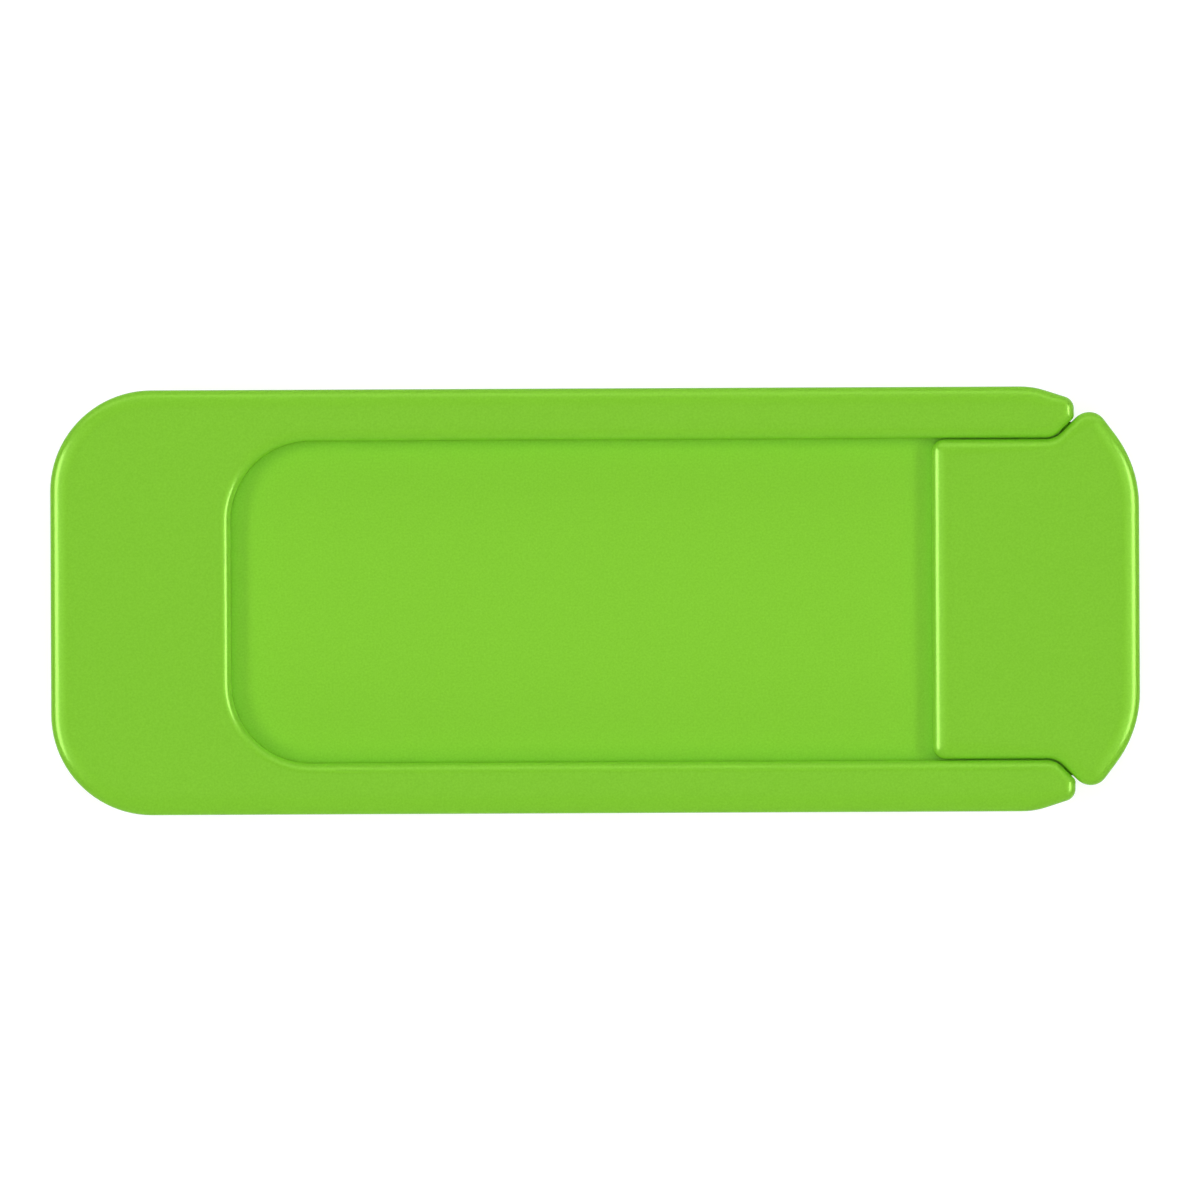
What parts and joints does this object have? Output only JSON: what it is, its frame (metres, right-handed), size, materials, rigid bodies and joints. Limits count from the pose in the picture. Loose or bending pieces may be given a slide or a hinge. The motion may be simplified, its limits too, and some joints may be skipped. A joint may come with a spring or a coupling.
{
  "type": "webcam cover slider",
  "caption": "Thin stick-on lens cover: a U-shaped frame whose arms guide a flat slider with a raised, flared head that pulls out to uncover the lens.",
  "frame": {"origin": "under the middle of the closed cover, in the plane of the tape's sticky face", "axes": "+X the way the slider pulls out, along the length; +Y across the arms; +Z away from the surface that the cover is stuck to"},
  "size_m": [0.041, 0.016, 0.0024],
  "materials": {
    "green_plastic": "satin-gloss moulded lime green plastic",
    "tape": "matt white double-sided tape"
  },
  "bodies": {
    "frame": {"frame": "green_plastic", "adhesive_tape": "tape"},
    "slider": {"slider": "green_plastic"}
  },
  "joints": [
    {"name": "slider_pull", "type": "slide", "parent": "frame", "child": "slider", "axis": [1, 0, 0], "range_m": [0, 0.0115]}
  ]
}
